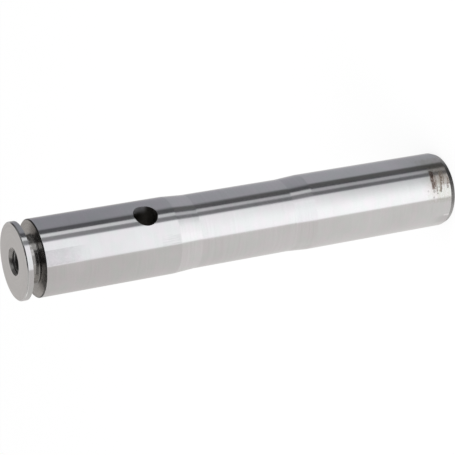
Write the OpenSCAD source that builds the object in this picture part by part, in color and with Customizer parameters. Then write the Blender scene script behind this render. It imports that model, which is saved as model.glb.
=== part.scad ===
// Axle pivot pin, turned and ground from one bar of steel.
// It stands on its plain end, with its axis along Z. The keeper disc, its groove and
// the tapped hole are at the top, and the cross hole runs along Y.

/* [Shank] */
// Overall length, from the plain end to the outer face of the keeper disc
pin_length = 308; // [250:1:400]
// Diameter of the two ground lands, which run in the bushes, and of the keeper disc
land_dia = 50; // [44:0.5:60]
// Length of the land beside the keeper groove
head_land_len = 91.5; // [60:0.5:120]
// Length of the relieved waist, without its tapers
waist_len = 68; // [30:1:90]
// Depth of the waist below the lands, on the radius
relief_depth = 1; // [0.25:0.25:3]
// Length of each taper from a land down to the waist
taper_len = 15; // [5:0.5:20]
// Chamfer on the turned edges of the disc and of the head land
edge_break = 0.7; // [0.3:0.1:1.5]

/* [Plain end] */
// Length of the lead-in chamfer
lead_len = 3.5; // [1.5:0.5:8]
// Angle of the lead-in chamfer to the axis
lead_angle = 20; // [10:1:40]
// Pilot diameter of the turning centre in the end face
centre_pilot_dia = 5; // [2.5:0.5:8]
// Mouth diameter of the turning centre
centre_mouth_dia = 10.6; // [9:0.2:16]
// Depth of the turning centre, to the end of its pilot wall
centre_depth = 10; // [8:0.5:16]

/* [Keeper groove] */
// Thickness of the keeper disc
disc_t = 4; // [3:0.5:8]
// Width of the groove that holds the keeper plate
groove_w = 8; // [5:0.5:14]
// Diameter of the neck at the bottom of the groove
neck_dia = 31; // [24:0.5:38]
// Fillet in both bottom corners of the groove
groove_fillet = 1; // [0.5:0.1:2.2]

/* [Holes] */
// Diameter of the cross hole, which a locking bolt goes through
cross_dia = 16; // [8:0.5:20]
// Distance from the outer face of the disc to the centre of the cross hole
cross_dist = 84; // [60:1:92]
// Core diameter of the tapped hole, here for a thread of 16 mm and 2 mm pitch
tapped_core_dia = 13.835; // [8:0.005:15]
// Mouth diameter of the tapped hole's countersink
tapped_mouth_dia = 18; // [16:0.5:22]
// Depth of the tapped hole, to the end of its straight wall
tapped_depth = 36; // [20:1:45]

/* [Hidden] */
$fn = 160;

// Half angle of a drill's point, of a countersink's cone and of a turning centre's cone
DRILL_HALF_ANGLE = 59;
SINK_HALF_ANGLE = 45;
CENTRE_HALF_ANGLE = 30;
// How far a cut runs past the surface that it opens
PAST = 1;

land_r = land_dia / 2;
waist_r = land_r - relief_depth;
neck_r = neck_dia / 2;
lead_r = land_r - lead_len * tan(lead_angle);

// Heights above the plain end, from the top down
disc_back_z = pin_length - disc_t;
shoulder_z = disc_back_z - groove_w;
head_land_z = shoulder_z - head_land_len;
waist_top_z = head_land_z - taper_len;
waist_foot_z = waist_top_z - waist_len;
foot_land_z = waist_foot_z - taper_len;
cross_z = pin_length - cross_dist;

// Bar turned to its outside form: lead-in chamfer, land, waist between its tapers, land
module shank() {
    rotate_extrude() polygon([
        [0, 0],
        [lead_r, 0],
        [land_r, lead_len],
        [land_r, foot_land_z],
        [waist_r, waist_foot_z],
        [waist_r, waist_top_z],
        [land_r, head_land_z],
        [land_r, shoulder_z - edge_break],
        [land_r - edge_break, shoulder_z],
        [land_r - edge_break, disc_back_z],
        [land_r, disc_back_z],
        [land_r, pin_length - edge_break],
        [land_r - edge_break, pin_length],
        [0, pin_length]
    ]);
}

// Ring cut out by the grooving tool, whose two corners have the radius of the fillets
module keeper_groove() {
    translate([0, 0, shoulder_z]) rotate_extrude() {
        translate([neck_r + groove_fillet, 0])
            square([land_r - neck_r - groove_fillet + PAST, groove_w]);
        translate([neck_r, groove_fillet])
            square([groove_fillet + PAST, groove_w - 2 * groove_fillet]);
        for (z = [groove_fillet, groove_w - groove_fillet])
            translate([neck_r + groove_fillet, z]) circle(r = groove_fillet);
    }
}

// Blind hole from z = 0 downwards: straight wall, pointed bottom and conical mouth
module centred_hole(wall_r, mouth_r, depth, mouth_half_angle) {
    mouth_depth = (mouth_r - wall_r) / tan(mouth_half_angle);
    point_depth = wall_r / tan(DRILL_HALF_ANGLE);
    rotate_extrude() polygon([
        [0, -depth - point_depth],
        [wall_r, -depth],
        [wall_r, -mouth_depth],
        [mouth_r, 0],
        [mouth_r, PAST],
        [0, PAST]
    ]);
}

module tapped_hole() {
    translate([0, 0, pin_length])
        centred_hole(tapped_core_dia / 2, tapped_mouth_dia / 2, tapped_depth, SINK_HALF_ANGLE);
}

module turning_centre() {
    mirror([0, 0, 1])
        centred_hole(centre_pilot_dia / 2, centre_mouth_dia / 2, centre_depth, CENTRE_HALF_ANGLE);
}

module cross_hole() {
    translate([0, 0, cross_z]) rotate([90, 0, 0])
        cylinder(h = land_dia + 2 * PAST, d = cross_dia, center = true);
}

module pivot_pin() {
    color([0.76, 0.76, 0.77]) difference() {
        shank();
        keeper_groove();
        cross_hole();
        tapped_hole();
        turning_centre();
    }
}

pivot_pin();
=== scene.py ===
import math

import bpy
from mathutils import Matrix, Vector


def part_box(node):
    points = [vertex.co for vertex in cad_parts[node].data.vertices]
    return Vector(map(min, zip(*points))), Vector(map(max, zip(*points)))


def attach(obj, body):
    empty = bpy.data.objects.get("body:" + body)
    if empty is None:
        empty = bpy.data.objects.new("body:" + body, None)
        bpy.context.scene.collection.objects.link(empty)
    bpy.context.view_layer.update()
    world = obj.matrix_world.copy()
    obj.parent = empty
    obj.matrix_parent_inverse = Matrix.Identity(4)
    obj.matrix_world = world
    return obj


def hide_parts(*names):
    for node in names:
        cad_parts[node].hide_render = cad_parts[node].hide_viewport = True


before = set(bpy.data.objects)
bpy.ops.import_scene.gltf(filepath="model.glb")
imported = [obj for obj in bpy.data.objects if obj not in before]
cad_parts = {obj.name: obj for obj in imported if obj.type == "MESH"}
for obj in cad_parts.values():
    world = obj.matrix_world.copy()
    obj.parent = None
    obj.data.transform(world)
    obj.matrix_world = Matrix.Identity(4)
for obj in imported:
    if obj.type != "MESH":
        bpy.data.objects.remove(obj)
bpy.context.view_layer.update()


# Camera
# The picture is taken with a long lens from above the grooved end, a little to the left of
# the cross hole. The pin lies in it while it stands here, so the camera is turned about its
# own line of sight until the pin's foot points to the right.
MM = 0.001
VIEW_AROUND = math.radians(-36.54)
VIEW_ABOVE = math.radians(24.63)
VIEW_TURN = math.radians(-99.87)
VIEW_DISTANCE = 1196.3 * MM
AIM = Vector((-1.44, 1.14, 160.54)) * MM
LENS = 145.16


def direction(around, above):
    """Unit vector from the pin outwards; around is 0 towards -Y and grows towards +X."""
    flat = math.cos(above)
    return Vector((math.sin(around) * flat, -math.cos(around) * flat, math.sin(above)))


towards_camera = direction(VIEW_AROUND, VIEW_ABOVE)
upright = towards_camera.to_track_quat("Z", "Y").to_matrix()
turned = upright @ Matrix.Rotation(VIEW_TURN, 3, "Z")
bpy.ops.object.camera_add(
    location=AIM + towards_camera * VIEW_DISTANCE, rotation=turned.to_euler()
)
camera = bpy.context.object
camera.data.lens = LENS
bpy.context.scene.camera = camera


# Studio
# The pin stands on a white floor in a tent of pale cloth. The steel mirrors the tent, whose
# upright cards and gaps give it the light and dark bands that run along it. The tent is the
# world's colour for reflected rays, and plain soft white light falls on everything else.
class Wire:
    """An output of a shader node. Arithmetic on it adds Math nodes."""

    def __init__(self, socket):
        self.socket = socket

    @classmethod
    def node(cls, tree, kind, settings=None, sockets=None, out=0):
        """Adds a node, applies its settings, then sets or links its sockets."""
        made = tree.nodes.new(kind)
        for name, value in (settings or {}).items():
            setattr(made, name, value)
        for name, value in (sockets or {}).items():
            socket = made.inputs[name]
            if isinstance(value, Wire):
                tree.links.new(value.socket, socket)
            elif socket.type == "RGBA":
                socket.default_value = (*value, 1)
            else:
                socket.default_value = value
        return cls(made.outputs[out]) if made.outputs else None

    def beside(self, name):
        """Another output of the same node."""
        return Wire(self.socket.node.outputs[name])

    def math(self, operation, *others):
        sockets = dict(enumerate((self,) + others))
        return Wire.node(self.socket.id_data, "ShaderNodeMath", {"operation": operation}, sockets)

    def __add__(self, other):
        return self.math("ADD", other)

    def __mul__(self, other):
        return self.math("MULTIPLY", other)

    def __truediv__(self, other):
        return self * (1 / other)

    def __sub__(self, other):
        return self.math("SUBTRACT", other)

    def __rsub__(self, other):
        return self * -1 + other

    __radd__ = __add__
    __rmul__ = __mul__

    def rise(self, start, end, low=0.0, high=1.0):
        """Goes smoothly from low to high as this value goes from start to end."""
        settings = {"interpolation_type": "SMOOTHSTEP"}
        sockets = {"Value": self, "From Min": start, "From Max": end}
        sockets.update({"To Min": low, "To Max": high})
        return Wire.node(self.socket.id_data, "ShaderNodeMapRange", settings, sockets)

    def between(self, start, end, soft):
        """1 between start and end, falling to 0 over the soft width outside them."""
        return self.rise(start - soft, start) * (1 - self.rise(end, end + soft))

    def blend(self, below, above):
        """Mixes two colours, with this value as the share of the one above."""
        settings = {"data_type": "RGBA"}
        sockets = {0: self, 6: below, 7: above}
        return Wire.node(self.socket.id_data, "ShaderNodeMix", settings, sockets, out=2)


WHITE = (1.0, 1.0, 1.0)
AMBIENT = (0.98, 0.98, 0.98)
# Places in the tent, in degrees. A side or a card has a start and an end, counted from the
# camera to the right, and a soft edge. A pair says from where to where something comes in.
HORIZON = -4, 8
# Below the horizon each tone is given high in the tent and low in it
LOW_DOWN = -19, -27
COOL_CLOTH = (0.30, 0.30, 0.33), (0.42, 0.42, 0.45)
WARM_CLOTH = (0.62, 0.60, 0.59), (0.76, 0.74, 0.73)
COOL_SIDE = 10, 139, 45
# Cards and gaps between the cloths: the start, end and soft edge of each, and its two tones
CARDS = (
    (65, 79, 5, (0.10, 0.10, 0.11), (0.07, 0.07, 0.08)),
    (56, 64, 3, (0.88, 0.88, 0.90), (0.45, 0.45, 0.47)),
    (44, 53, 3, (0.30, 0.30, 0.31), (0.16, 0.16, 0.17)),
    (-29.5, 37.3, 5, (1.06, 1.06, 1.09), (1.33, 1.33, 1.35)),
)
# Low down the widest gap is a little wider, and the bright card is in shade at its right side
GAP_SIDE, GAP_SHADE = (74, 84, 7), (0.11, 0.11, 0.11)
CARD_SHADE = (0.56, 0.56, 0.58)
CARD_SHADE_BELOW, CARD_SHADE_FROM, CARD_SHADE_TO = (-23, -31), (-12, 48), (42, 38)
# Above the horizon the studio is grey behind the pin, dark on the camera's side but for one
# lamp, and bright on the left. Only the groove and the flat faces mirror that.
BEHIND = (0.66, 0.645, 0.635)
DARK_SIDE, DARK = (-22, 138, 18), (0.04, 0.04, 0.04)
LAMP_SIDE, LAMP = (52, 56, 22), (1.7, 1.7, 1.7)
LEFT_FROM, LEFT_TO, LEFT = (-140, -118), (-28, -62), (1.2, 1.17, 1.14)
# High over the pin it is dark in front, paler on the right, and pale on the left and behind
OVERHEAD, OVERHEAD_SIDE = (24, 32), (-150, 150, 15)
OVER_DARK_SIDE, OVER_RIGHT_FROM = (-35, 150, 20), (30, 70)
OVER_LEFT, OVER_RIGHT = (0.55, 0.54, 0.53), (0.16, 0.16, 0.16)
# The floor around the pin: pale on the left, then grey, dark and pale again on the right, each
# with the place where it comes in
FLOOR_LEFT = (1.10, 1.09, 1.08)
FLOOR = (
    (-150, -20, (0.36, 0.355, 0.35)),
    (-20, 65, (0.08, 0.08, 0.08)),
    (98, 142, (0.80, 0.80, 0.81)),
)
FLOOR_EDGE = -38, -46
TOP = 79, 84

world = bpy.data.worlds.new("tent")
bpy.context.scene.world = world
world.use_nodes = True
tree = world.node_tree
tree.nodes.clear()
seen = Wire.node(tree, "ShaderNodeTexCoord", out="Generated")
x = Wire.node(tree, "ShaderNodeSeparateXYZ", sockets={"Vector": seen}, out="X")
y, z = x.beside("Y"), x.beside("Z")
front = x * math.sin(VIEW_AROUND) - y * math.cos(VIEW_AROUND)
side = x * math.cos(VIEW_AROUND) + y * math.sin(VIEW_AROUND)
around = side.math("ARCTAN2", front) * math.degrees(1)
above = z.math("ARCSINE") * math.degrees(1)
low_down = above.rise(*LOW_DOWN)
cool = around.between(*COOL_SIDE)
walls = cool.blend(low_down.blend(*WARM_CLOTH), low_down.blend(*COOL_CLOTH))
for start, end, soft, high_tone, low_tone in CARDS:
    walls = around.between(start, end, soft).blend(walls, low_down.blend(high_tone, low_tone))
walls = (low_down * around.between(*GAP_SIDE)).blend(walls, GAP_SHADE)
shade = above.rise(*CARD_SHADE_BELOW) * around.rise(*CARD_SHADE_FROM)
shade = shade * around.rise(*CARD_SHADE_TO)
walls = shade.blend(walls, CARD_SHADE)
room = around.between(*DARK_SIDE).blend(BEHIND, DARK)
room = around.between(*LAMP_SIDE).blend(room, LAMP)
room = (around.rise(*LEFT_FROM) * around.rise(*LEFT_TO)).blend(room, LEFT)
over = around.rise(*OVER_RIGHT_FROM).blend(DARK, OVER_RIGHT)
over = around.between(*OVER_DARK_SIDE).blend(OVER_LEFT, over)
room = (above.rise(*OVERHEAD) * around.between(*OVERHEAD_SIDE)).blend(room, over)
tent = above.rise(*HORIZON).blend(walls, room)
under = FLOOR_LEFT
for start, end, tone in FLOOR:
    under = around.rise(start, end).blend(under, tone)
tent = above.rise(*FLOOR_EDGE).blend(tent, under)
tent = above.rise(*TOP).blend(tent, WHITE)
camera_ray = Wire.node(tree, "ShaderNodeLightPath", out="Is Camera Ray")
light = camera_ray.beside("Is Glossy Ray").blend(AMBIENT, tent)
light = camera_ray.blend(light, WHITE)
background = Wire.node(tree, "ShaderNodeBackground", sockets={"Color": light})
Wire.node(tree, "ShaderNodeOutputWorld", sockets={"Surface": background})

FLOOR_SIZE = 20.0
PAPER = (0.9, 0.9, 0.9)
PAPER_GLOW = 0.85
bpy.ops.mesh.primitive_plane_add(size=FLOOR_SIZE)
floor = bpy.context.object
floor.name = "floor"
floor.visible_glossy = False
paper = bpy.data.materials.new("white_paper")
paper.use_nodes = True
tree = paper.node_tree
tree.nodes.clear()
matt = Wire.node(tree, "ShaderNodeBsdfDiffuse", sockets={"Color": PAPER})
glow = Wire.node(tree, "ShaderNodeEmission", sockets={"Color": WHITE, "Strength": 1.0})
camera_ray = Wire.node(tree, "ShaderNodeLightPath", out="Is Camera Ray")
sockets = {0: camera_ray * PAPER_GLOW, 1: matt, 2: glow}
shown = Wire.node(tree, "ShaderNodeMixShader", sockets=sockets)
Wire.node(tree, "ShaderNodeOutputMaterial", sockets={"Surface": shown})
floor.data.materials.append(paper)

LAMP_PLACE = Vector((-0.9, -0.4, 1.6))
bpy.ops.object.light_add(type="AREA", location=LAMP_PLACE)
lamp = bpy.context.object
lamp.data.shape = "DISK"
lamp.data.size = 1.2
lamp.data.energy = 12
lamp.rotation_euler = (LAMP_PLACE - AIM).to_track_quat("Z", "Y").to_euler()
lamp.visible_glossy = False
lamp.visible_camera = False
bpy.context.scene.view_settings.view_transform = "Standard"


# Pin, turned form
# One bar of steel, turned between centres: a centre drilled in the foot, a lead-in chamfer,
# two lands with a relieved waist between them, and the keeper disc behind its groove. It is
# drawn as a ring that is pulled up and made wider or narrower at each step of the profile.
ROUND = 360
foot, head = (corner.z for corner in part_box("pivot_pin"))
LAND_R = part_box("pivot_pin")[1].x
WAIST_R = LAND_R - 1 * MM
NECK_R = 15.5 * MM
LEAD = 3.5 * MM
LEAD_ANGLE = math.radians(20)
EDGE_BREAK = 0.7 * MM
DISC = 4 * MM
GROOVE = 8 * MM
FILLET = 1 * MM
FILLET_STEPS = 8
HEAD_LAND = 91.5 * MM
TAPER = 15 * MM
WAIST = 68 * MM
PILOT_R = 2.5 * MM
PILOT_DEPTH = 10 * MM
CENTRE_R = 5.3 * MM
CENTRE_ANGLE = math.radians(30)
DRILL_ANGLE = math.radians(59)
CORE_R = 13.835 / 2 * MM
MOUTH_R = 9 * MM
TAPPED_DEPTH = 36 * MM

disc_back = head - DISC
shoulder = disc_back - GROOVE
head_land = shoulder - HEAD_LAND
waist_top = head_land - TAPER
waist_foot = waist_top - WAIST
foot_land = waist_foot - TAPER
lead_r = LAND_R - LEAD * math.tan(LEAD_ANGLE)
centre_depth = (CENTRE_R - PILOT_R) / math.tan(CENTRE_ANGLE)
mouth_depth = MOUTH_R - CORE_R


def fillet(height, start):
    """Points of a quarter circle in a bottom corner of the groove; start is its first angle."""
    for step in range(FILLET_STEPS + 1):
        angle = start - math.radians(90) * step / FILLET_STEPS
        yield NECK_R + FILLET + FILLET * math.cos(angle), height + FILLET * math.sin(angle)


profile = [
    (PILOT_R, centre_depth),
    (CENTRE_R, foot),
    (lead_r, foot),
    (LAND_R, LEAD),
    (LAND_R, foot_land),
    (WAIST_R, waist_foot),
    (WAIST_R, waist_top),
    (LAND_R, head_land),
    (LAND_R, shoulder - EDGE_BREAK),
    (LAND_R - EDGE_BREAK, shoulder),
    *fillet(shoulder + FILLET, math.radians(270)),
    *fillet(disc_back - FILLET, math.radians(180)),
    (LAND_R, disc_back),
    (LAND_R, head - EDGE_BREAK),
    (LAND_R - EDGE_BREAK, head),
    (MOUTH_R, head),
    (CORE_R, head - mouth_depth),
    (CORE_R, head - TAPPED_DEPTH),
]

bpy.ops.object.select_all(action="DESELECT")
bpy.ops.mesh.primitive_circle_add(
    vertices=ROUND, radius=PILOT_R, fill_type="TRIFAN", location=(0, 0, PILOT_DEPTH)
)
pin = bpy.context.object
pin.name = "turned_pin"
bpy.ops.object.transform_apply(location=True, rotation=False, scale=False)
for point in pin.data.vertices:
    if point.co.xy.length < PILOT_R / 2:
        point.co.z += PILOT_R / math.tan(DRILL_ANGLE)
bpy.ops.object.mode_set(mode="EDIT")
bpy.ops.mesh.select_mode(type="EDGE")
bpy.ops.mesh.select_all(action="DESELECT")
bpy.ops.mesh.select_non_manifold()
radius, height = PILOT_R, PILOT_DEPTH
for next_radius, next_height in profile:
    bpy.ops.mesh.extrude_edges_move(
        TRANSFORM_OT_translate={"value": (0, 0, next_height - height)}
    )
    grow = next_radius / radius
    bpy.ops.transform.resize(value=(grow, grow, 1), center_override=(0, 0, next_height))
    radius, height = next_radius, next_height
bpy.ops.mesh.extrude_edges_move(
    TRANSFORM_OT_translate={"value": (0, 0, -CORE_R / math.tan(DRILL_ANGLE))}
)
bpy.ops.mesh.merge(type="CENTER")
bpy.ops.mesh.select_all(action="SELECT")
bpy.ops.mesh.normals_make_consistent(inside=False)
bpy.ops.object.mode_set(mode="OBJECT")


# Broken edges
# Every turned edge is broken with a file in the lathe, so none is quite sharp: those of the
# disc, the shoulder, the lead-in chamfer and the two countersunk mouths.
FILED = 0.12 * MM
NEAR = 0.001 * MM
filed_rings = [
    (CENTRE_R, foot),
    (lead_r, foot),
    (LAND_R, LEAD),
    (LAND_R, shoulder - EDGE_BREAK),
    (LAND_R - EDGE_BREAK, shoulder),
    (LAND_R, disc_back),
    (LAND_R, head - EDGE_BREAK),
    (LAND_R - EDGE_BREAK, head),
    (MOUTH_R, head),
]


def pick_rings(rings):
    """Selects the pin's round edges that lie on the given rings, a radius and a height each."""
    bpy.ops.object.mode_set(mode="EDIT")
    bpy.ops.mesh.select_mode(type="EDGE")
    bpy.ops.mesh.select_all(action="DESELECT")
    bpy.ops.object.mode_set(mode="OBJECT")
    points = pin.data.vertices
    for edge in pin.data.edges:
        ends = [points[corner].co for corner in edge.vertices]
        edge.select = any(
            all(abs(end.xy.length - radius) < NEAR and abs(end.z - height) < NEAR for end in ends)
            for radius, height in rings
        )
    bpy.ops.object.mode_set(mode="EDIT")


pick_rings(filed_rings)
bpy.ops.mesh.bevel(offset=FILED, segments=2, affect="EDGES")
bpy.ops.object.mode_set(mode="OBJECT")


# Ground lands and turned waist
# The lands and the disc's rim are ground to size and run in bushes. The waist between them is
# turned a little smaller. All carry fine lines around the pin from the wheel and the tool.
def start_steel(name):
    """A new steel, and the place on the pin as a vector in metres, and as x, y, z in mm."""
    finish = bpy.data.materials.new(name)
    finish.use_nodes = True
    finish.node_tree.nodes.clear()
    place = Wire.node(finish.node_tree, "ShaderNodeTexCoord", out="Object")
    x = Wire.node(finish.node_tree, "ShaderNodeSeparateXYZ", sockets={"Vector": place}, out="X")
    return finish, place, x / MM, x.beside("Y") / MM, x.beside("Z") / MM


def degrees_around(x, y):
    """Degrees around the pin, 0 towards -Y and growing towards +X."""
    return x.math("ARCTAN2", y * -1) * math.degrees(1)


def from_middle(x, y):
    """Distance from the pin's middle line."""
    return (x * x + y * y).math("SQRT")


def noise(vector, detail=2.0):
    """Noise whose grains are one unit of the vector wide."""
    sockets = {"Vector": vector, "Scale": 1.0, "Detail": detail}
    return Wire.node(vector.socket.id_data, "ShaderNodeTexNoise", sockets=sockets)


def grain(place, size, detail=2.0, shift=0.0):
    """Noise whose grains have the given size in millimetres along x, y and z."""
    stretch = tuple(1 / (length * MM) for length in size)
    sockets = {"Vector": place, "Scale": stretch, "Location": (shift, shift, shift)}
    return noise(Wire.node(place.socket.id_data, "ShaderNodeMapping", sockets=sockets), detail)


BUMP = 0.002 * MM


def finish_steel(finish, color, roughness, height, metal=1.0, along=0.6):
    """Links the steel's shader. Its lines lie around the pin, so it blurs along it."""
    tree = finish.node_tree
    sockets = {"Height": height, "Strength": 1.0, "Distance": BUMP}
    bump = Wire.node(tree, "ShaderNodeBump", sockets=sockets)
    sockets = {
        "Base Color": color,
        "Roughness": roughness,
        "Metallic": metal,
        "Normal": bump,
        "Anisotropic": along,
        "Anisotropic Rotation": 0.25,
    }
    shine = Wire.node(tree, "ShaderNodeBsdfPrincipled", sockets=sockets)
    Wire.node(tree, "ShaderNodeOutputMaterial", sockets={"Surface": shine})


# Bright steel, in its darker and its paler grain
STEEL = (0.69, 0.69, 0.69), (0.75, 0.75, 0.755)
# A trace of oil tints the steel in soft patches
HUES = (1.0, 0.975, 0.985), (0.965, 0.985, 0.97)


def multiply(color, share, tone):
    """Multiplies a colour by a tone, as far as the share says."""
    settings = {"data_type": "RGBA", "blend_type": "MULTIPLY"}
    sockets = {0: share, 6: color, 7: tone}
    return Wire.node(color.socket.id_data, "ShaderNodeMix", settings, sockets, out=2)


turned, place, x, y, height = start_steel("turned_steel")
around = degrees_around(x, y)
fine = grain(place, (20, 20, 0.25))
coarse = grain(place, (40, 40, 1.6), shift=5.0)
clouds = grain(place, (22, 22, 30), shift=2.0)
color = (fine * 0.3 + coarse * 0.35 + clouds * 0.35).rise(0.3, 0.7).blend(*STEEL)
roughness = 0.11 + clouds * 0.05 + coarse * 0.04
hue = grain(place, (9, 9, 7), shift=23.0).rise(0.35, 0.65)
color = multiply(color, 1.0, hue.blend(*HUES))
# Bushes slid over the tapers. The lower one is worn brighter on a side by rubbing and has a dull
# strip, and a painted highlight lightens one side of the upper one: where each starts and ends
# in degrees around, its soft edge, and its tone.
head_taper = height.between(waist_top / MM, head_land / MM, 0.1)
foot_taper = height.between(foot_land / MM, waist_foot / MM, 0.1)
for taper, start, end, soft, tone in (
    (head_taper, -24, -4, 14, 1.21),
    (foot_taper, -95, -38, 15, 1.10),
    (foot_taper, -18, 0, 5, 0.87),
):
    color = multiply(color, taper * around.between(start, end, soft), (tone, tone, tone))
finish_steel(turned, color, roughness, fine * 0.4 + coarse * 0.6)

ground, place, x, y, height = start_steel("bright_ground_steel")
around = degrees_around(x, y)
fine = grain(place, (16, 16, 0.12))
coarse = grain(place, (30, 30, 1.1), shift=3.0)
clouds = grain(place, (22, 22, 30), shift=7.0)
color = (fine * 0.3 + coarse * 0.2 + clouds * 0.5).rise(0.3, 0.7).blend(*STEEL)
roughness = 0.10 + clouds * 0.05 + coarse * 0.03
hue = grain(place, (9, 9, 7), shift=29.0).rise(0.35, 0.65)
color = multiply(color, 1.0, hue.blend(*HUES))


# Rust, smears and scuffs on the ground steel
# Water stood around the plain end and left short runs of rust, spots and an olive film there.
# The other end has a dull smear beside the groove, and light scuffs before the first taper.
specks = grain(place, (1.1, 1.1, 0.8), detail=3.0, shift=11.0)
blotches = grain(place, (3.5, 3.5, 2.5), shift=13.0)
hairs = grain(place, (12, 12, 0.35), shift=17.0)

# A thin film, the olive stain around the runs of rust, and the dullest part of it
film = height.rise(52, 12) * around.rise(-14, 4)
color = multiply(color, film * (0.6 + blotches * 0.8), (0.87, 0.865, 0.86))
wet = (height + blotches * 12).rise(33, 20) * (around + blotches * 14).between(-46, 22, 9)
color = multiply(color, wet * (hairs * 0.5 + specks * 0.5).rise(0.28, 0.66), (0.82, 0.81, 0.74))
dull = (height + specks * 5).rise(21, 16) * (around + blotches * 10).between(-22, 3, 9)
color = multiply(color, dull * (0.5 + specks * 0.6), (0.68, 0.65, 0.60))
roughness = roughness + dull * 0.04 + wet * 0.02

# Runs of rust: height in the middle, how it leans in mm per degree, half its width, the two
# ends in degrees around, its share and its colour
BLACKENED, RUSTY, OLIVE = (0.085, 0.060, 0.053), (0.205, 0.135, 0.105), (0.26, 0.20, 0.15)
RUNS = (
    (16.3, -0.031, 1.40, -35, -13, 0.90, RUSTY),
    (16.5, -0.020, 0.40, -29, -18, 0.30, BLACKENED),
    (15.7, -0.031, 1.30, -15, -9, 0.85, BLACKENED),
    (14.0, -0.040, 0.25, -41, -18, 0.80, RUSTY),
    (10.1, -0.093, 0.75, -40, -13, 0.80, OLIVE),
    (5.1, -0.093, 0.55, -36, -23, 0.60, RUSTY),
    (7.8, -0.060, 0.35, -30, -12, 0.60, OLIVE),
)
ragged = (specks - 0.5) * 2.2
wavy = (blotches - 0.5) * 2.4
for middle, lean, half, start, end, share, tone in RUNS:
    off = height - middle - (around - (start + end) / 2) * lean + ragged + wavy
    off = off.math("ABSOLUTE")
    run = off.rise(half + 0.6, half - 0.4) * around.between(start, end, 4)
    run = run * (hairs * 0.3 + specks * 0.7).rise(0.32, 0.56, 0.25, 1.0) * share
    color = run.blend(color, tone)
    roughness = roughness + run * 0.3

# Spots: height, degrees around, radius and share
GRIME = (0.07, 0.06, 0.055)
MM_PER_DEGREE = 0.436
SPOTS = (
    (11.3, -42, 0.5, 0.75),
    (14.1, -44.6, 0.5, 0.6),
    (12.5, -35, 0.6, 0.4),
    (3.9, -31, 0.6, 0.6),
    (7.1, -31, 0.5, 0.4),
    (5.9, -38, 0.5, 0.4),
    (16.6, -40.5, 1.1, 0.4),
    (17.2, -50, 0.7, 0.4),
    (21.3, -39, 0.7, 0.18),
)
for middle, degrees, radius, share in SPOTS:
    up = height - middle + ragged * 0.3
    across = (around - degrees) * MM_PER_DEGREE
    spot = from_middle(up, across).rise(radius + 0.3, radius - 0.3)
    color = (spot * share).blend(color, GRIME)

# A grey smudge and a painted glint low on the other side of the plain end
smudge = height.rise(17, 7) * (around + blotches * 8).between(-97, -85, 7)
color = multiply(color, smudge, (0.87, 0.87, 0.865))
painted_glint = height.between(3.8, 7, 1.2) * around.between(-85.3, -83.8, 1.2)
color = multiply(color, painted_glint, (1.22, 1.22, 1.22))

# The smear beside the groove, the scuffs before the taper, and the disc's slightly duller rim
beside_groove = (height + blotches * 10).rise(267, 290) * height.rise(301, 299)
smear = beside_groove * (around + specks * 3).between(-49, -29, 1.5)
patchy = (specks * 0.7 + hairs * 0.3).rise(0.3, 0.7, 0.5, 1.3)
color = multiply(color, smear * patchy, (0.85, 0.84, 0.85))
roughness = roughness + smear * 0.10
lines = grain(place, (0.5, 0.5, 9), shift=19.0)
scuffs = height.between(206, 216, 3) * (around + blotches * 6).between(-48, -36, 3)
color = multiply(color, scuffs * lines.rise(0.35, 0.65), (0.90, 0.90, 0.90))
color = multiply(color, height.rise(300, 304), (0.96, 0.96, 0.96))
finish_steel(ground, color, roughness, fine * 0.3 + coarse * 0.4)


# Faced ends, groove and edges
# The disc's face and the foot are faced in the lathe. The groove, the shoulder and the edges
# are left as turned, and keep a darker skin from hardening. A keeper plate sat in the groove
# and left its neck dusty in places. The neck is also darker in one arc and has a painted
# highlight in another, and painted shade darkens its bottom corner at the shoulder.
def rings(x, y, size, shift=0.0):
    """Noise in fine rings around the pin's middle, as wide as size in millimetres."""
    sockets = {"X": from_middle(x, y) / size + shift, "Y": x * 0.04, "Z": y * 0.04}
    return noise(Wire.node(x.socket.id_data, "ShaderNodeCombineXYZ", sockets=sockets))


SKIN = (0.03, 0.028, 0.026)


def add_faced_steel(name, dark_tone, light_tone, smooth, rough, along=0.0, skin=0.0):
    """A steel with the rings of a facing cut; skin is how dark its hardened patches are."""
    finish, place, x, y, _ = start_steel(name)
    fine = rings(x, y, 0.2)
    coarse = rings(x, y, 1.1, shift=9.0)
    clouds = grain(place, (7, 7, 7), shift=4.0)
    share = (fine * 0.25 + coarse * 0.3 + clouds * 0.45).rise(0.3, 0.7)
    roughness = clouds.rise(0.3, 0.7, smooth, rough)
    color = share.blend(dark_tone, light_tone)
    if skin:
        around = degrees_around(x, y)
        outside = from_middle(x, y).rise(16, 19) * around.between(-85, -47, 13)
        patches = outside.math("MAXIMUM", around.between(-22, 4, 8))
        color = (patches * (skin + clouds * 0.4)).blend(color, SKIN)
    finish_steel(finish, color, roughness, fine * 0.5 + coarse * 0.5, along=along)
    return finish


faced = add_faced_steel("faced_steel", (0.60, 0.585, 0.575), (0.70, 0.685, 0.675), 0.36, 0.46)
shoulder_steel = add_faced_steel(
    "shoulder_steel", (0.28, 0.265, 0.25), (0.42, 0.40, 0.38), 0.22, 0.32, along=0.7, skin=0.6
)

sunk, place, x, y, _ = start_steel("countersunk_steel")
around = degrees_around(x, y)
marks = grain(place, (20, 20, 0.2))
clouds = grain(place, (2.5, 2.5, 2.5), shift=3.0)
# Darker in given arcs around the countersink
sunk_dark_arcs = around.rise(-80, -110) * around.rise(-152, -138) + around.between(129, 143, 9) * 0.7
sunk_dark_arcs = (sunk_dark_arcs + around.between(72, 84, 12) * 0.2) * (0.8 + clouds * 0.35)
tone = clouds.rise(0.3, 0.7).blend((0.33, 0.318, 0.31), (0.44, 0.427, 0.418))
# Painted highlight: one narrow arc of the countersink is made pale
tone = around.between(160, 169, 13).blend(tone, (0.84, 0.825, 0.81))
color = sunk_dark_arcs.blend(tone, (0.06, 0.058, 0.055))
finish_steel(sunk, color, 0.18 + clouds * 0.1, marks, along=0.3)

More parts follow.
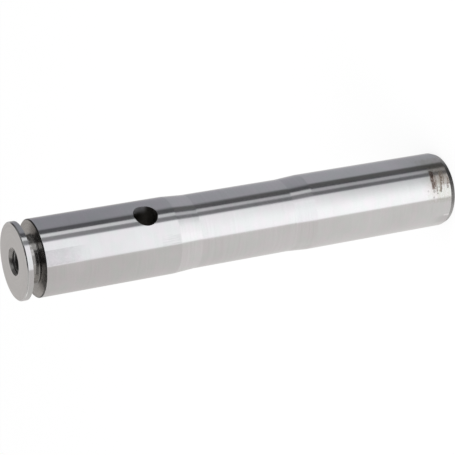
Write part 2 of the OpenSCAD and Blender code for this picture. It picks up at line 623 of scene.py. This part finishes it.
grooved, place, x, y, height = start_steel("grooved_steel")
around = degrees_around(x, y)
marks = grain(place, (25, 25, 0.4))
clouds = grain(place, (6, 6, 6), shift=1.0)
share = (marks * 0.5 + clouds * 0.5).rise(0.3, 0.7)
color = share.blend((0.40, 0.39, 0.38), (0.52, 0.51, 0.49))
# The neck is darker in one arc
neck_dark_arc = around.between(-48, -34, 7)
color = (neck_dark_arc * 0.55).blend(color, (0.09, 0.083, 0.075))
# Painted highlight: one arc of the neck is made pale
painted_light = around.between(-15, -5, 7)
color = painted_light.blend(color, (0.76, 0.75, 0.73))
# Painted shade darkens the bottom corner of the groove at the shoulder and dims its fillet
corner = (shoulder + FILLET) / MM
color = multiply(color, height.rise(corner + 0.1, corner - 0.3), (0.5, 0.5, 0.5))
dust = around.between(-22, 28, 8) * 0.28 + around.between(-105, -62, 8) * 0.16
dust = dust + painted_light * 0.3 + neck_dark_arc * 0.1
finish_steel(grooved, color, 0.08 + clouds * 0.06, marks, metal=1 - dust, along=0.3)

hardened, place, _, _, height = start_steel("hardened_edge")
marks = grain(place, (25, 25, 0.3))
clouds = grain(place, (5, 5, 5), shift=6.0)
share = (marks * 0.4 + clouds * 0.6).rise(0.3, 0.7)
at_foot = share.blend((0.24, 0.235, 0.23), (0.36, 0.355, 0.35))
at_shoulder = share.blend((0.08, 0.078, 0.076), (0.15, 0.147, 0.144))
color = height.rise(20, 30).blend(at_foot, at_shoulder)
finish_steel(hardened, color, 0.22 + clouds * 0.1, marks)


def dress(finish, chosen):
    """Gives the finish to faces chosen by radius, height and how far they face up or down."""
    if finish.name not in pin.data.materials:
        pin.data.materials.append(finish)
    index = pin.data.materials.find(finish.name)
    for face in pin.data.polygons:
        middle = face.center
        if chosen(middle.xy.length, middle.z, face.normal.z):
            face.material_index = index


# A face that points up or down by more than this is a flat one, and not an edge
FLAT = 0.9
dress(ground, lambda r, z, up: True)
dress(turned, lambda r, z, up: foot_land < z < head_land and r > WAIST_R - MM)
dress(faced, lambda r, z, up: abs(up) > 0.99 and not LEAD < z < head - FILED)
dress(sunk, lambda r, z, up: up > 0.1 and r < MOUTH_R and z > disc_back)
dress(shoulder_steel, lambda r, z, up: abs(up) > FLAT and shoulder - MM < z < head - MM)
dress(grooved, lambda r, z, up: r < NECK_R + FILLET and shoulder < z < disc_back)
dress(hardened, lambda r, z, up: r > MOUTH_R and abs(up) > 0.02 and z < LEAD)
dress(hardened, lambda r, z, up: shoulder - EDGE_BREAK < z < shoulder and abs(up) < FLAT)


# Cross hole
# A locking bolt goes through it and keeps the pin from turning. It is drilled right through
# after the hardening. Its wall is dark, and painted light makes it dull grey at one side of
# the mouth.
CROSS_R = 8 * MM
CROSS_HEIGHT = head - 84 * MM
PAST = 3 * MM

drilled, place, x, y, height = start_steel("drilled_bore")
# The drill's marks lie in rings around the hole's axis, which runs along y
marks = grain(place, (9, 0.3, 9))
clouds = grain(place, (4, 4, 4), shift=8.0)
share = (marks * 0.4 + clouds * 0.6).rise(0.3, 0.7)
color = share.blend((0.11, 0.105, 0.095), (0.20, 0.19, 0.175))
# Painted light: one side of the mouth is made dull grey
lit_side = (x * 0.93 + (height - CROSS_HEIGHT / MM) * 0.37).rise(4, 7)
painted_light = y.rise(-15, -20) * lit_side * (0.6 + clouds * 0.6)
color = painted_light.blend(color, (0.40, 0.40, 0.42))
finish_steel(drilled, color, 0.34 + clouds * 0.15, marks, metal=1 - painted_light * 0.5, along=0.0)

bpy.ops.object.select_all(action="DESELECT")
bpy.ops.mesh.primitive_cylinder_add(
    vertices=128,
    radius=CROSS_R,
    depth=2 * (LAND_R + PAST),
    location=(0, 0, CROSS_HEIGHT),
    rotation=(math.radians(90), 0, 0),
)
drill = bpy.context.object
drill.data.materials.append(drilled)


def cut_away(tool):
    """Cuts a tool's shape out of the pin, which gets the tool's finish there."""
    bpy.ops.object.select_all(action="DESELECT")
    pin.select_set(True)
    bpy.context.view_layer.objects.active = pin
    cut = pin.modifiers.new("cut", "BOOLEAN")
    cut.operation = "DIFFERENCE"
    cut.solver = "EXACT"
    cut.material_mode = "TRANSFER"
    cut.object = tool
    bpy.ops.object.modifier_apply(modifier=cut.name)
    bpy.data.objects.remove(tool)


cut_away(drill)


# End thread
# M16 for a screw or a puller, tapped after drilling and countersinking. The tap's tooth is
# drawn once and swept down its helix, and the sweep is cut out of the wall. A painted
# highlight makes the crests left standing paler on one side.
THREAD_R = 8 * MM
PITCH = 2 * MM
TURNS = 15
TURN_STEPS = 64
TOOTH_ROOT, TOOTH_TIP = 1.5 * MM, 0.25 * MM
TOOTH_BACK = 6.4 * MM

tapped, place, x, y, _ = start_steel("tapped_steel")
around = degrees_around(x, y)
marks = grain(place, (6, 6, 0.3))
color = marks.rise(0.3, 0.7).blend((0.28, 0.275, 0.27), (0.42, 0.415, 0.41))
# Painted highlight: the crests are made paler on one side
painted_crest_highlight = from_middle(x, y).rise(7.35, 7.0) * around.between(85, 120, 25)
color = painted_crest_highlight.blend(color, (0.46, 0.45, 0.44))
finish_steel(tapped, color, 0.5 + marks * 0.1, marks, metal=1 - painted_crest_highlight * 0.4, along=0.0)
tap_end = head - TAPPED_DEPTH - CORE_R
dress(tapped, lambda r, z, up: r < CORE_R + NEAR and tap_end < z < head - MM)

# The tooth's outline: radius, and height over its middle
tooth = [
    (TOOTH_BACK, TOOTH_ROOT / 2),
    (CORE_R, TOOTH_ROOT / 2),
    (THREAD_R, TOOTH_TIP / 2),
    (THREAD_R, -TOOTH_TIP / 2),
    (CORE_R, -TOOTH_ROOT / 2),
    (TOOTH_BACK, -TOOTH_ROOT / 2),
]
tooth_top = head + PITCH * 0.7
bpy.ops.object.select_all(action="DESELECT")
bpy.ops.mesh.primitive_circle_add(vertices=len(tooth), radius=MM, fill_type="NOTHING")
tap = bpy.context.object
for point, (radius, offset) in zip(tap.data.vertices, tooth):
    point.co = (radius, 0, tooth_top + offset)
sweep = tap.modifiers.new("sweep", "SCREW")
sweep.axis = "Z"
sweep.angle = math.radians(-360)
sweep.screw_offset = -PITCH
sweep.iterations = TURNS
sweep.steps = TURN_STEPS
sweep.render_steps = TURN_STEPS
sweep.use_smooth_shade = False
bpy.ops.object.modifier_apply(modifier=sweep.name)
bpy.ops.object.mode_set(mode="EDIT")
bpy.ops.mesh.select_mode(type="EDGE")
bpy.ops.mesh.select_all(action="DESELECT")
bpy.ops.mesh.select_non_manifold()
bpy.ops.mesh.fill_holes(sides=len(tooth))
bpy.ops.mesh.select_all(action="SELECT")
bpy.ops.mesh.normals_make_consistent(inside=False)
bpy.ops.object.mode_set(mode="OBJECT")
tap.data.materials.append(tapped)
cut_away(tap)
# The cut leaves slivers along the thread's crests
bpy.ops.object.mode_set(mode="EDIT")
bpy.ops.mesh.select_all(action="SELECT")
bpy.ops.mesh.remove_doubles(threshold=NEAR)
bpy.ops.mesh.dissolve_degenerate(threshold=NEAR)
bpy.ops.object.mode_set(mode="OBJECT")


# The finished pin
# One piece of steel, so one piece here. The rings where the tapers start stay crisp, and the
# broad faces keep their flat light beside the broken edges.
SMOOTH_UNDER = math.radians(30)
pick_rings(
    [(LAND_R, foot_land), (WAIST_R, waist_foot), (WAIST_R, waist_top), (LAND_R, head_land)]
)
bpy.ops.mesh.mark_sharp()
bpy.ops.object.mode_set(mode="OBJECT")
bpy.ops.object.shade_smooth_by_angle(angle=SMOOTH_UNDER)
weighted = pin.modifiers.new("weighted", "WEIGHTED_NORMAL")
weighted.keep_sharp = True
bpy.ops.object.modifier_apply(modifier=weighted.name)

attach(pin, "root")
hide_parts("pivot_pin")
